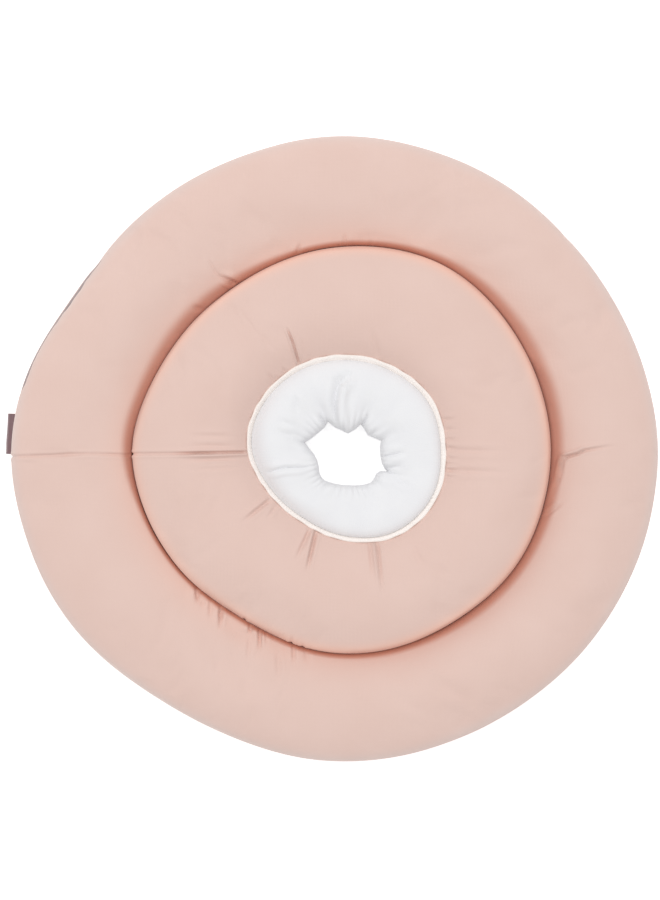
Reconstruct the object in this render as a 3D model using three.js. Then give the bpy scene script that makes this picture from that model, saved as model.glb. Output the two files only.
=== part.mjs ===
// Soft recovery cone: a stuffed fabric collar for a cat or a small dog, as it lies flat on a table.
// One cover holds two padded rings, parted by a stitched channel. A white binding closes the neck
// edge, a gathered cuff of thinner cloth narrows the opening, and a folded label sits in the rim seam.
// Millimetres, +Z up. The table is at z = 0, and the origin is under the middle of the whole cone.

import * as THREE from "three";

const { clamp, degToRad, euclideanModulo, lerp, smoothstep } = THREE.MathUtils;

// Cover: the two padded rings
const rimRadius = 170; // half the widest outline
const channelRadius = 110; // from the channel's centre to its stitching
const neckRadius = 46.5; // from the neck's centre to the cover's inner edge
const outerCrown = 35; // height of the outer ring above the table
const innerCrown = 38; // height of the inner ring above the table
const seamHeight = 13; // height of the rim, channel and neck seams above the table
const tableSink = 4; // how far a ring would sink below the table, which flattens it
const seamPlumpness = 0.68; // below 1 a ring has a fuller shoulder there than an ellipse
const neckPlumpness = 0.75;
const seamTurn = 1.5; // degrees of a ring's section cut off by a flat seam
const neckTurn = 10; // degrees cut off by the neck edge, which leaves it blunt
const channelShift = 2.9; // the channel's centre lies this far towards +X of the rim's
const neckShift = 6.3; // the neck's centre lies this far towards +X of the rim's

// Channel: both layers of the cover, stitched flat between the rings
const channelWidth = 3.2;
const channelThickness = 1.6;

// Binding: a strip of white cloth folded round the neck edge
const bindingThickness = 1.2;
const bindingReach = 3.1; // how far it lies over the ring, above and below the edge

// Cuff: doubled white cloth, drawn in round the opening by its hem
const cuffWall = 1.5;
const cuffCrest = 29; // height of its puffed top above the table
const cuffFold = 2.6; // how far its folds rise and sink at the hem
const holeRadius = 19.5; // from the hole's centre to the hem
const holeShiftX = 5.6; // the hole's centre, from the rim's
const holeShiftY = -3.2;

// Label: a short strip folded over and caught in the rim seam
const labelLength = 23;
const labelThickness = 1.1;
const labelReach = 4.8; // how far it stands out past the rim
const labelDrop = 8; // how far its free edge hangs below the rim seam
const labelAngle = 177; // where its middle sits on the rim, in degrees

const clearance = 0.3; // between neighbours
const fullTurn = 360;
const stationStep = 6; // degrees between two plain sections of a ring
const gatherSpread = 3; // degrees from a gather's valley to its edge
const padRows = 19; // points in a ring's section
const cuffRows = 9; // points along each face of the cuff

// Outlines seen from above, by angle from +X: shares of the radii named above.
// overhang is how far the inner ring leans over the channel, as a share of the channel's width.
const outlines = [
  { angle: 0, rim: 1.005, channel: 1.025, neck: 1.03, overhang: 0.9 },
  { angle: 30, rim: 0.98, channel: 1.015, neck: 1.035, overhang: 0.7 },
  { angle: 60, rim: 0.975, channel: 1.025, neck: 0.99, overhang: 0.2 },
  { angle: 90, rim: 0.97, channel: 0.98, neck: 0.975, overhang: 0.9 },
  { angle: 120, rim: 0.945, channel: 0.95, neck: 1.005, overhang: 0.5 },
  { angle: 150, rim: 0.94, channel: 0.96, neck: 1.055, overhang: 0.1 },
  { angle: 165, rim: 0.98, channel: 0.99, neck: 1.08, overhang: 0.1 },
  { angle: 180, rim: 1.0, channel: 1.02, neck: 1.07, overhang: 0.1 },
  { angle: 210, rim: 0.985, channel: 0.98, neck: 0.955, overhang: 0.6 },
  { angle: 240, rim: 0.945, channel: 0.95, neck: 0.9, overhang: 0.8 },
  { angle: 270, rim: 0.97, channel: 0.99, neck: 0.95, overhang: 0.9 },
  { angle: 300, rim: 0.98, channel: 1.005, neck: 1.045, overhang: 0.9 },
  { angle: 330, rim: 1.0, channel: 1.03, neck: 1.07, overhang: 0.9 },
];

// Gathers that run out from the neck over the inner ring. reach is a share of the ring's width, and
// depth a share of its height above the seams. The row at 180 is the cover's closing seam.
const neckGathers = [
  { angle: 0, reach: 0.5, depth: 0.07 },
  { angle: 81, reach: 0.35, depth: 0.04 },
  { angle: 117, reach: 0.4, depth: 0.14 },
  { angle: 180, reach: 1.6, depth: 0.08 },
  { angle: 216, reach: 0.3, depth: 0.08 },
  { angle: 246, reach: 0.3, depth: 0.08 },
  { angle: 252, reach: 0.45, depth: 0.14 },
  { angle: 285, reach: 0.6, depth: 0.1 },
  { angle: 348, reach: 0.45, depth: 0.08 },
];

// Puckers that run out from the channel over the outer ring, in the same units.
const channelPuckers = [
  { angle: 0, reach: 0.45, depth: 0.14 },
  { angle: 81, reach: 0.6, depth: 0.04 },
  { angle: 123, reach: 0.35, depth: 0.12 },
  { angle: 180, reach: 1.6, depth: 0.06 },
  { angle: 228, reach: 0.3, depth: 0.1 },
  { angle: 252, reach: 0.35, depth: 0.1 },
  { angle: 258, reach: 0.3, depth: 0.08 },
  { angle: 345, reach: 0.25, depth: 0.1 },
];

// The hem round the hole: reach is a share of the hole's radius. fold is 1 on a ridge and -1 in a
// valley of the gathered cloth, as a share of cuffFold.
const hemFolds = [
  { angle: 0, reach: 1.0, fold: 0.8 },
  { angle: 19, reach: 1.1, fold: -0.8 },
  { angle: 36, reach: 0.88, fold: 0.6 },
  { angle: 62, reach: 1.0, fold: -1.0 },
  { angle: 81, reach: 0.62, fold: 1.0 },
  { angle: 104, reach: 0.9, fold: -0.8 },
  { angle: 124, reach: 1.02, fold: -0.4 },
  { angle: 145, reach: 1.0, fold: 0.7 },
  { angle: 164, reach: 1.17, fold: -0.9 },
  { angle: 184, reach: 0.84, fold: 0.9 },
  { angle: 209, reach: 0.86, fold: -0.8 },
  { angle: 231, reach: 0.92, fold: 0.5 },
  { angle: 262, reach: 0.84, fold: 0.2 },
  { angle: 290, reach: 0.93, fold: 0.6 },
  { angle: 316, reach: 1.1, fold: -0.7 },
  { angle: 329, reach: 1.03, fold: 0.4 },
  { angle: 340, reach: 1.2, fold: -0.9 },
];

// The cuff's section, from the neck edge to the hem: shares of its width and of its crest.
const cuffSection = [
  { across: 0.0, height: 0.35 },
  { across: 0.0, height: 0.75 },
  { across: 0.09, height: 0.95 },
  { across: 0.26, height: 1.0 },
  { across: 0.55, height: 0.92 },
  { across: 0.84, height: 0.78 },
  { across: 0.98, height: 0.66 },
  { across: 1.0, height: 0.42 },
];

// Reads a column of a table of angles as one smooth closed curve, at any angle in degrees.
function around(rows, column, angle) {
  const turned = euclideanModulo(angle - rows[0].angle, fullTurn) + rows[0].angle;
  const found = rows.findIndex((row) => row.angle > turned);
  const next = found < 0 ? rows.length : found;
  const knot = (index) => {
    const laps = Math.floor(index / rows.length);
    const row = rows[index - laps * rows.length];
    return { at: row.angle + laps * fullTurn, value: row[column] };
  };
  const [before, start, end, after] = [-2, -1, 0, 1].map((k) => knot(next + k));
  const span = end.at - start.at;
  const t = (turned - start.at) / span;
  const startSlope = ((end.value - before.value) / (end.at - before.at)) * span;
  const endSlope = ((after.value - start.value) / (after.at - start.at)) * span;
  const rise = end.value - start.value;
  const bend = startSlope + endSlope - 2 * rise;
  return start.value + t * (startSlope + t * (rise - startSlope + (t - 1) * bend));
}

// A point at a radius round a centre, in the plane of the table.
function polar(centreX, centreY, radius, angle) {
  const turn = degToRad(angle);
  return new THREE.Vector2(centreX + radius * Math.cos(turn), centreY + radius * Math.sin(turn));
}

const rimLine = (angle) => polar(0, 0, rimRadius * around(outlines, "rim", angle), angle);

function channelLine(angle, offset) {
  const radius = channelRadius * around(outlines, "channel", angle) + offset;
  return polar(channelShift, 0, radius, angle);
}

function neckLine(angle, offset) {
  return polar(neckShift, 0, neckRadius * around(outlines, "neck", angle) + offset, angle);
}

// How far apart two angles are, in degrees.
const apart = (angle, other) => Math.abs(euclideanModulo(angle - other + 180, fullTurn) - 180);

// How deep the gathers of a table press into a ring, as a share of its height.
function gathered(gathers, angle, across) {
  const dents = gathers.map((gather) => {
    const fade = 1 - smoothstep(across, 0, gather.reach);
    return gather.depth * fade * Math.max(0, 1 - apart(angle, gather.angle) / gatherSpread);
  });
  return Math.max(...dents);
}

// The angles of a piece's sections: plain steps, and every fold's own angle.
function stations(folds) {
  const plain = Array.from({ length: fullTurn / stationStep }, (_, i) => i * stationStep);
  const free = plain.filter((angle) => folds.every((fold) => apart(angle, fold) > stationStep / 3));
  const all = [...free, ...folds.map((fold) => euclideanModulo(fold, fullTurn))];
  return [...new Set(all)].sort((a, b) => a - b);
}

// All the pieces of the cover share their sections' angles, so that their seams stay parallel.
const coverAngles = stations(
  [...neckGathers, ...channelPuckers].flatMap(({ angle }) => [
    angle - gatherSpread,
    angle,
    angle + gatherSpread,
  ]),
);

// The two rings. edgeTurn is how many degrees of the section its inner edge cuts off.
const channelSide = channelWidth / 2 + clearance;

const outerPad = {
  innerEdge: (angle) => channelLine(angle, channelSide),
  outerEdge: rimLine,
  crown: outerCrown,
  edgeTurn: seamTurn,
  edgePlumpness: seamPlumpness,
  lean: () => 0,
  gathers: channelPuckers,
};

const innerPad = {
  innerEdge: (angle) => neckLine(angle, 0),
  outerEdge: (angle) => channelLine(angle, -channelSide),
  crown: innerCrown,
  edgeTurn: neckTurn,
  edgePlumpness: neckPlumpness,
  lean: (angle, across) => channelWidth * around(outlines, "overhang", angle) * across ** 3,
  gathers: neckGathers,
};

// Where a section stands: its inner edge, the way out from there, and its width.
function sectionPlace(inner, outer) {
  const span = outer.clone().sub(inner);
  return { inner, width: span.length(), outward: span.normalize() };
}

// A flat section of points (outward, up), set in its place.
function raise(place, profile) {
  return profile.map(({ x, y }) => {
    const spot = place.inner.clone().addScaledVector(place.outward, x);
    return new THREE.Vector3(spot.x, spot.y, y);
  });
}

const padPlace = (pad, angle) => sectionPlace(pad.innerEdge(angle), pad.outerEdge(angle));

// A ring's section: from its inner edge over the top to its outer seam, and back underneath.
function padProfile(pad, angle) {
  const { width } = padPlace(pad, angle);
  const cut = Math.cos(degToRad(pad.edgeTurn));
  return Array.from({ length: padRows }, (_, row) => {
    const turn = degToRad(lerp(pad.edgeTurn, fullTurn - pad.edgeTurn, row / (padRows - 1)));
    const across = (cut - Math.cos(turn)) / (cut + 1);
    const fullness = lerp(pad.edgePlumpness, seamPlumpness, across);
    const rise = Math.sign(Math.sin(turn)) * Math.abs(Math.sin(turn)) ** fullness;
    const above = Math.max(0, rise) * (1 - gathered(pad.gathers, angle, across));
    const below = Math.min(0, rise);
    const height = seamHeight + above * (pad.crown - seamHeight) + below * (seamHeight + tableSink);
    const out = across * width + above * pad.lean(angle, across);
    return new THREE.Vector2(out, Math.max(0, height));
  });
}

// A path of points moved sideways by a distance, to its left as it runs.
function beside(path, distance) {
  return path.map((point, i) => {
    const arriving = point.clone().sub(path[Math.max(0, i - 1)]).normalize();
    const leaving = path[Math.min(path.length - 1, i + 1)].clone().sub(point).normalize();
    const along = arriving.clone().add(leaving).normalize();
    const reach = distance / Math.max(along.dot(arriving), along.dot(leaving));
    return new THREE.Vector2(point.x - along.y * reach, point.y + along.x * reach);
  });
}

// A closed ring of cloth: one section of points at each angle, joined to the next all the way round.
function ringGeometry(angles, sectionAt) {
  const sections = angles.map(sectionAt);
  const rows = sections[0].length;
  const index = [];
  sections.forEach((_, i) => {
    const here = i * rows;
    const there = ((i + 1) % sections.length) * rows;
    for (let j = 0; j < rows; j++) {
      const k = (j + 1) % rows;
      index.push(here + j, here + k, there + k, here + j, there + k, there + j);
    }
  });
  const geometry = new THREE.BufferGeometry().setFromPoints(sections.flat()).setIndex(index);
  geometry.computeVertexNormals();
  return geometry;
}

function padGeometry(pad) {
  const sectionAt = (angle) => raise(padPlace(pad, angle), padProfile(pad, angle));
  return ringGeometry(coverAngles, sectionAt);
}

// The stitched channel is a flat band of both layers between the rings.
function channelGeometry() {
  const profile = [
    new THREE.Vector2(0, seamHeight - channelThickness / 2),
    new THREE.Vector2(0, seamHeight + channelThickness / 2),
    new THREE.Vector2(channelWidth, seamHeight + channelThickness / 2),
    new THREE.Vector2(channelWidth, seamHeight - channelThickness / 2),
  ];
  const sectionAt = (angle) => {
    const inner = channelLine(angle, -channelWidth / 2);
    return raise(sectionPlace(inner, channelLine(angle, channelWidth / 2)), profile);
  };
  return ringGeometry(coverAngles, sectionAt);
}

// The binding folds round the inner ring's blunt neck edge, a clearance off its surface.
function bindingGeometry() {
  const sectionAt = (angle) => {
    const ring = padProfile(innerPad, angle);
    const [top, overTop] = ring;
    const [underneath, bottom] = ring.slice(-2);
    const path = [
      bottom.clone().lerp(underneath, bindingReach / underneath.x),
      bottom,
      top,
      top.clone().lerp(overTop, bindingReach / overTop.x),
    ];
    const near = beside(path, clearance);
    const far = beside(path, clearance + bindingThickness);
    return raise(padPlace(innerPad, angle), [...far, ...near.reverse()]);
  };
  return ringGeometry(coverAngles, sectionAt);
}

// The cuff is a thin wall along its section, narrowing from the binding to the hem.
function cuffGeometry() {
  const knots = cuffSection.map(({ across, height }) => new THREE.Vector2(across, height));
  const line = new THREE.SplineCurve(knots).getPoints(cuffRows - 1);
  const rootOffset = -(2 * clearance + bindingThickness + cuffWall / 2);
  const sectionAt = (angle) => {
    const root = neckLine(angle, rootOffset);
    const reach = holeRadius * around(hemFolds, "reach", angle);
    const place = sectionPlace(polar(holeShiftX, holeShiftY, reach, angle), root);
    const fold = cuffFold * around(hemFolds, "fold", angle);
    const path = line.map(({ x, y }) => {
      const across = clamp(x, 0, 1);
      const lift = fold * smoothstep(across, 0.2, 1);
      return new THREE.Vector2((1 - across) * place.width, y * cuffCrest + lift);
    });
    const under = beside(path, cuffWall / 2);
    const over = beside(path, -cuffWall / 2);
    return raise(place, [...under, ...over.reverse()]);
  };
  return ringGeometry(stations(hemFolds.map(({ angle }) => angle)), sectionAt);
}

// The label is a bent strip: out from the rim seam, then down.
function labelGeometry() {
  const out = labelReach - clearance;
  const bend = out - labelThickness / 2;
  const shape = new THREE.Shape();
  shape.moveTo(0, labelThickness / 2);
  shape.lineTo(0, -labelThickness / 2);
  shape.quadraticCurveTo(bend - labelThickness / 2, 0, bend - labelThickness / 2, -labelDrop);
  shape.lineTo(bend + labelThickness / 2, -labelDrop);
  shape.quadraticCurveTo(bend + labelThickness / 2, labelThickness, 0, labelThickness / 2);
  return new THREE.ExtrudeGeometry(shape, {
    depth: labelLength,
    curveSegments: 6,
    bevelEnabled: false,
  });
}

// The rim's furthest reach along the label's outward direction, so that the label clears it.
function labelSeat() {
  const outward = polar(0, 0, 1, labelAngle);
  const half = Math.atan(labelLength / 2 / rimRadius);
  const reaches = [-1, -0.5, 0, 0.5, 1].map((share) => {
    const angle = labelAngle + (share * half * 180) / Math.PI;
    return rimLine(angle).dot(outward);
  });
  return outward.multiplyScalar(Math.max(...reaches) + clearance);
}

const rose = new THREE.MeshStandardMaterial({ color: 0xe6c6bb, roughness: 0.85, metalness: 0 });
const white = new THREE.MeshStandardMaterial({ color: 0xefeeec, roughness: 0.8, metalness: 0 });
const mauve = new THREE.MeshStandardMaterial({ color: 0x7d6163, roughness: 0.75, metalness: 0 });

function piece(name, geometry, material) {
  const mesh = new THREE.Mesh(geometry, material);
  mesh.name = name;
  return mesh;
}

function labelPiece() {
  const label = piece("label_tab", labelGeometry(), mauve);
  const seat = labelSeat();
  const turned = new THREE.Group();
  label.rotation.x = Math.PI / 2;
  label.position.y = labelLength / 2;
  turned.add(label);
  turned.rotation.z = degToRad(labelAngle);
  turned.position.set(seat.x, seat.y, seamHeight);
  return turned;
}

const collar = new THREE.Group();
collar.add(
  piece("outer_ring", padGeometry(outerPad), rose),
  piece("inner_ring", padGeometry(innerPad), rose),
  piece("channel_seam", channelGeometry(), rose),
  piece("neck_binding", bindingGeometry(), white),
  piece("neck_cuff", cuffGeometry(), white),
  labelPiece(),
);

// Moves the collar so that the origin is under the middle of its box.
const middle = new THREE.Box3().setFromObject(collar, true).getCenter(new THREE.Vector3());
collar.position.set(-middle.x, -middle.y, 0);

const cone = new THREE.Group();
cone.add(collar);

export default cone;
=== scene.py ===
# %% [markdown]
# # A soft recovery cone
#
# This lesson dresses a stuffed fabric collar, the soft kind that a cat or a small dog wears after
# surgery, as it lies flat on a table. Two padded rings share one pink cover and are parted by a
# stitched channel. A white tape binds the neck edge, and a gathered cuff narrows the opening.
# The solid model comes first, as a frame that is never moved, and every soft piece is made round it.

# %% Load the frame
import math

import bpy
import numpy as np
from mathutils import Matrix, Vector, noise
from mathutils.bvhtree import BVHTree


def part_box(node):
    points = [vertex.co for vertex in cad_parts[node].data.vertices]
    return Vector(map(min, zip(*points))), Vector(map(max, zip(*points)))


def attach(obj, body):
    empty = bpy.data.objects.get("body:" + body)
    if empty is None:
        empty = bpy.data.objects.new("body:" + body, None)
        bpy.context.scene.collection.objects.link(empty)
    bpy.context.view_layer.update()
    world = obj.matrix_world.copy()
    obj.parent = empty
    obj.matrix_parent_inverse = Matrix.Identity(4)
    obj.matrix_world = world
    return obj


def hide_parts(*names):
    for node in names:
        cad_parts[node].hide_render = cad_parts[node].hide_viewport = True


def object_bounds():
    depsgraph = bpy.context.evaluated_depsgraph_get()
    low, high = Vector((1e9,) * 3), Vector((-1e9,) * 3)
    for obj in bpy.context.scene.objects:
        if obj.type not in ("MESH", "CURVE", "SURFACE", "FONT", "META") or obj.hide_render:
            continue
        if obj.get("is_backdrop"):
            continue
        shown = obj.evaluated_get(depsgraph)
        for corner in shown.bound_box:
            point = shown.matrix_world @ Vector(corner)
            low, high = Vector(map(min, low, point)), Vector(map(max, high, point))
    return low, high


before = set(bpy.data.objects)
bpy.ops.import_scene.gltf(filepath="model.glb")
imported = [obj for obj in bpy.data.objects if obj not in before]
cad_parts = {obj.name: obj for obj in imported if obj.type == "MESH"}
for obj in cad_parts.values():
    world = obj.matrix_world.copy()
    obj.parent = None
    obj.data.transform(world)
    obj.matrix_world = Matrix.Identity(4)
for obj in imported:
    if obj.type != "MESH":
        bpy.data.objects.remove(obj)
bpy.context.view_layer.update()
scene = bpy.context.scene
mm = 0.001

# %% [markdown]
# ## The camera
#
# The cone was photographed from straight above. A long lens from far off keeps its sides from
# showing, so the camera stands about a metre and a half up. One pixel of the photograph covers
# 0.53 mm at the height of the seams, and that sets the distance.

# %% Camera
photo_height = 900
pixel = 0.5288 * mm
seam_low, seam_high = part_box("channel_seam")
seam_height = (seam_low.z + seam_high.z) / 2
lens = 120
sensor = 36
rise = photo_height * pixel * lens / sensor
bpy.ops.object.camera_add(location=(0.1 * mm, -0.5 * mm, seam_height + rise), rotation=(0, 0, 0))
camera = bpy.context.object
camera.data.lens = lens
camera.data.sensor_width = sensor
scene.camera = camera
print("camera", round(rise, 2), "m above the seams")

# %% [markdown]
# ## Measuring the seams
#
# The soft pieces have to meet where the solid ones do. Level rays from the middle of the channel
# strike each solid at its seams, and trace each seam all the way round. A filter that keeps only
# the slow waves takes out the facets of the solid model.

# %% Seam lines
full_turn = 2 * math.pi
ray_angles = np.linspace(0, full_turn, 720, endpoint=False)
channel_middle = (seam_low + seam_high) / 2


def keep_slow_waves(values, waves):
    spectrum = np.fft.rfft(values)
    spectrum[waves + 1 :] = 0
    return np.fft.irfft(spectrum, len(values))


def seam_line(node, from_outside, waves):
    """How far out from the channel's middle a solid's seam is, at every ray's angle."""
    tree = BVHTree.FromObject(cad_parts[node], bpy.context.evaluated_depsgraph_get())
    middle = channel_middle + Vector((0, 0, 0.1 * mm))
    radii = []
    for angle in ray_angles:
        out = Vector((math.cos(angle), math.sin(angle), 0))
        start = middle + out * 0.4 if from_outside else middle
        hit = tree.ray_cast(start, -out if from_outside else out)[0]
        radii.append((hit - middle).length)
    return keep_slow_waves(np.array(radii), waves)


def at_angle(line, angle):
    return np.interp(angle, ray_angles, line, period=full_turn)


def line_from(sizes, waves):
    """A smooth line round the cone, from sizes in millimetres at every 30 degrees from +X."""
    angles = np.radians(range(0, 360, 30))
    rough = np.interp(ray_angles, angles, np.array(sizes) * mm, period=full_turn)
    return keep_slow_waves(rough, waves)


rim_line = seam_line("outer_ring", True, 18)
channel_outside = seam_line("outer_ring", False, 18)
channel_inside = seam_line("inner_ring", True, 18)
neck_line = seam_line("inner_ring", False, 12)
for name, line in [("rim", rim_line), ("channel", channel_outside), ("neck edge", neck_line)]:
    print("the", name, "is", round(line.min() / mm, 1), "to", round(line.max() / mm, 1), "mm out")

# %% [markdown]
# ## The two stuffed rings
#
# Each ring is a top and a bottom layer of cloth, sewn together along both edges and filled with
# loose fibre. It could be sculpted from a torus, but that primitive stops at 256 steps, which is
# too coarse for the puckers. So a Screw modifier turns a circle into a finer one, and its points
# are carried to the real section: a flat bed on the table, full shoulders and a soft crown. The
# rows are set out evenly along that section, so that the cloth has even cells when it is filled.

# %% The points of a mesh
def points_of(piece):
    points = np.empty(len(piece.data.vertices) * 3)
    piece.data.vertices.foreach_get("co", points)
    return points.reshape(-1, 3)


def set_points(piece, points):
    piece.data.vertices.foreach_set("co", points.ravel())
    piece.data.update()


def normals_of(piece):
    normals = np.empty(len(piece.data.vertices) * 3, dtype=np.float32)
    piece.data.vertex_normals.foreach_get("vector", normals)
    return normals.reshape(-1, 3).astype(float)


def smooth_step(low, high, values):
    share = np.clip((values - low) / (high - low), 0, 1)
    return share * share * (3 - 2 * share)


def bell(values, width):
    return np.exp(-((values / width) ** 2))


# %% A ring of quads, ready to be reshaped
def select_only(piece):
    bpy.ops.object.select_all(action="DESELECT")
    piece.select_set(True)
    bpy.context.view_layer.objects.active = piece


def spin_ring(name, steps, rows):
    """A circle spun round to a fine torus, with each point's angle round it and its row."""
    major = 100 * mm
    bpy.ops.object.select_all(action="DESELECT")
    bpy.ops.mesh.primitive_circle_add(
        vertices=rows, radius=20 * mm, location=(major, 0, 0), rotation=(math.pi / 2, 0, 0)
    )
    piece = bpy.context.object
    piece.name = name
    bpy.ops.object.transform_apply(location=True, rotation=True, scale=True)
    bpy.ops.object.modifier_add(type="SCREW")
    lathe = piece.modifiers[-1]
    lathe.steps = steps
    lathe.render_steps = steps
    lathe.use_merge_vertices = True
    lathe.merge_threshold = 0.01 * mm
    bpy.ops.object.modifier_apply(modifier=lathe.name)
    bpy.ops.object.mode_set(mode="EDIT")
    bpy.ops.mesh.select_all(action="SELECT")
    bpy.ops.mesh.normals_make_consistent(inside=False)
    bpy.ops.object.mode_set(mode="OBJECT")
    bpy.ops.object.shade_smooth()
    points = points_of(piece)
    angle = np.arctan2(points[:, 1], points[:, 0])
    angle = np.round(angle / full_turn * steps) % steps / steps * full_turn
    spread = np.hypot(points[:, 0], points[:, 1]) - major
    turn = (math.pi - np.arctan2(points[:, 2], spread)) % full_turn
    row = np.round(turn / full_turn * rows).astype(int) % rows
    return piece, angle, row


def round_middle(radius, angle, height):
    return np.column_stack(
        [
            channel_middle.x + radius * np.cos(angle),
            channel_middle.y + radius * np.sin(angle),
            height,
        ]
    )


def round_place(points):
    """The angle and the distance of each point from the channel's middle."""
    away = points[:, :2] - np.array(channel_middle)[:2]
    return np.arctan2(away[:, 1], away[:, 0]) % full_turn, np.hypot(away[:, 0], away[:, 1])


# %% A ring's section
def ring_section(turn, inside, outside, edge_turn):
    """Across and rise, as shares, at turns from the inner seam over the top and back below."""
    cut = math.cos(edge_turn)
    across = (cut - np.cos(turn)) / (cut + 1)
    swing = np.sin(turn)
    return across, np.sign(swing) * np.abs(swing) ** (inside + (outside - inside) * across)


def even_turns(count, width, height, inside, outside, edge_turn):
    turn = np.linspace(edge_turn, full_turn - edge_turn, 4000)
    across, rise = ring_section(turn, inside, outside, edge_turn)
    steps = np.hypot(np.diff(across * width), np.diff(rise * height))
    length = np.concatenate([[0], np.cumsum(steps)])
    return np.interp(np.linspace(0, length[-1], count), length, turn)


# %% Cloth coordinates
def lay_cloth(piece, across, along, lap=None):
    """Stores flat cloth coordinates, in millimetres, as the UV map that the weave follows."""
    layer = piece.data.uv_layers.active or piece.data.uv_layers.new()
    layer.name = "cloth"
    corners = np.empty(len(piece.data.loops), dtype=np.int32)
    piece.data.loops.foreach_get("vertex_index", corners)
    flat = np.column_stack([across, along])[corners]
    if lap:
        faces = flat.reshape(-1, 4, 2)
        faces[:, :, 0] += lap * (faces[:, :, 0] < faces[:, :, 0].max(axis=1)[:, None] - lap / 2)
    layer.data.foreach_set("uv", flat.ravel())


# %% A stuffed ring before it is filled
# a ring's lower half would reach this far into the table, which presses it flat
flattened = 4 * mm
# where the creases are, in degrees: a place, how far it spreads, and how much closer its steps are
creased_places = [(181.2, 3, 2.2), (246, 18, 1.2), (356, 12, 1.0), (124, 7, 1.0), (110, 5, 1.4)]


def turned(angle, place):
    """How far an angle is from a place on the ring, in degrees."""
    return (np.degrees(angle) - place + 180) % 360 - 180


dense_angles = np.linspace(0, full_turn, 7201)
density = 1 + sum(more * bell(turned(dense_angles, at), wide) for at, wide, more in creased_places)
steps_passed = np.append(0, np.cumsum(density[:-1]))


def closer_at_creases(angle):
    """Draws even steps in towards the creases, so that fine dents get more points."""
    return np.interp(angle / full_turn * steps_passed[-1], steps_passed, dense_angles)


def lumps(points, size, depth, seed):
    """Slow bumps, as uneven filling leaves them."""
    offset = Vector((seed * 17.3, seed * 5.1, seed * 9.7))
    return np.array([depth * noise.noise(Vector(point) / size + offset) for point in points])


def stuffed_ring(name, node, edges, inside, outside, edge_turn, leans, cells, slack, seed):
    """inside and outside say how full the shoulders are. leans are how far the upper half leans
    past its seams. slack is how far below its full height the ring starts, for the filling."""
    steps, rows = cells
    piece, angle, row = spin_ring(name, steps, rows)
    angle = closer_at_creases(angle)
    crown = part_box(node)[1].z - slack
    inner = at_angle(edges[0], angle)
    width = at_angle(edges[1], angle) - inner
    middle_width = (edges[1] - edges[0]).mean()
    shape = (outside, outside, edge_turn)
    turn = even_turns(rows, middle_width, crown / 2, *shape)[row]
    across, rise = ring_section(turn, inside(angle), outside, edge_turn)
    above = np.maximum(rise, 0)
    overhang = across**3 * at_angle(leans[1], angle) - (1 - across) ** 3 * at_angle(leans[0], angle)
    radius = inner + across * width + smooth_step(0, 0.4, rise) * overhang
    sink = np.minimum(rise, 0) * (seam_height + flattened)
    height = np.maximum(seam_height + above * (crown - seam_height) + sink, 0)
    set_points(piece, round_middle(radius, angle, height))
    bumps = lumps(points_of(piece), 45 * mm, 0.9 * mm, seed) * above
    set_points(piece, points_of(piece) + normals_of(piece) * bumps[:, None])
    # the way out over the top layer, laid flat
    path_turn = np.linspace(edge_turn, math.pi, 400)
    path_across, path_rise = ring_section(path_turn, *shape)
    steps = np.hypot(np.diff(path_across * middle_width), np.diff(path_rise * crown / 2))
    over = np.interp(np.minimum(turn, full_turn - turn), path_turn, np.append(0, np.cumsum(steps)))
    flat = (inner + over) / mm
    lay_cloth(piece, flat * np.cos(angle), flat * np.sin(angle))
    return piece, across * width, width


# %% [markdown]
# ## Filling the rings
#
# Stuffing pushes the cloth out until it is tight, and the seams hold it back, which is what gives
# a padded ring its small puckers. Blender's cloth simulation does the same: the points at the
# seams are pinned, air pressure stands in for the fibre, and twenty frames are enough. The move
# of each point is capped, because the filling may not push a ring out of its solid's place, and
# whatever sinks below the table is laid flat on it.

# %% Filling
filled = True
frames = 20
furthest = 3.5 * mm
slack = 2.2 * mm if filled else 0
print("the rings start", slack / mm, "mm short of full")


def fill(piece, held):
    """Blows the piece up like a balloon that is pinned at the points that are held."""
    group = piece.vertex_groups.new(name="seams")
    group.add([int(i) for i in np.flatnonzero(held)], 1.0, "REPLACE")
    select_only(piece)
    bpy.ops.object.modifier_add(type="CLOTH")
    cloth = piece.modifiers[-1]
    cloth.settings.quality = 5
    cloth.settings.mass = 0.3
    cloth.settings.tension_stiffness = 15
    cloth.settings.compression_stiffness = 15
    cloth.settings.bending_stiffness = 0.5
    cloth.settings.vertex_group_mass = group.name
    cloth.settings.use_pressure = True
    cloth.settings.uniform_pressure_force = 4
    cloth.settings.shrink_min = -0.01
    cloth.settings.effector_weights.gravity = 0
    cloth.point_cache.frame_start = 1
    cloth.point_cache.frame_end = frames
    before = points_of(piece)
    for number in range(1, frames + 1):
        scene.frame_set(number)
    bpy.ops.object.modifier_apply(modifier=cloth.name)
    scene.frame_set(1)
    piece.vertex_groups.clear()
    move = points_of(piece) - before
    length = np.linalg.norm(move, axis=1)
    move *= np.minimum(1, furthest / np.maximum(length, 1e-9))[:, None]
    after = before + move
    after[:, 2] = np.maximum(after[:, 2], 0)
    set_points(piece, after)
    print(piece.name, "moved", round(np.linalg.norm(move, axis=1).max() / mm, 1), "mm at most")


def subdivide(piece):
    select_only(piece)
    bpy.ops.object.modifier_add(type="SUBSURF")
    smoothing = piece.modifiers[-1]
    smoothing.levels = 1
    smoothing.render_levels = 1
    bpy.ops.object.modifier_apply(modifier=smoothing.name)


# %% Where the rings touch
# the inner ring's upper edge leans over the channel or, where the size is below 0, away from it
lean_line = line_from([0.4, 0.8, 0.4, 0.8, -0.8, -0.9, -1.3, 0.2, 0.1, 0.8, 0.2, 0.3], 9)
contact_line = channel_inside + lean_line
upright = 0 * ray_angles
print("the channel is", round((channel_outside - channel_inside).mean() / mm, 1), "mm wide")


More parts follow.
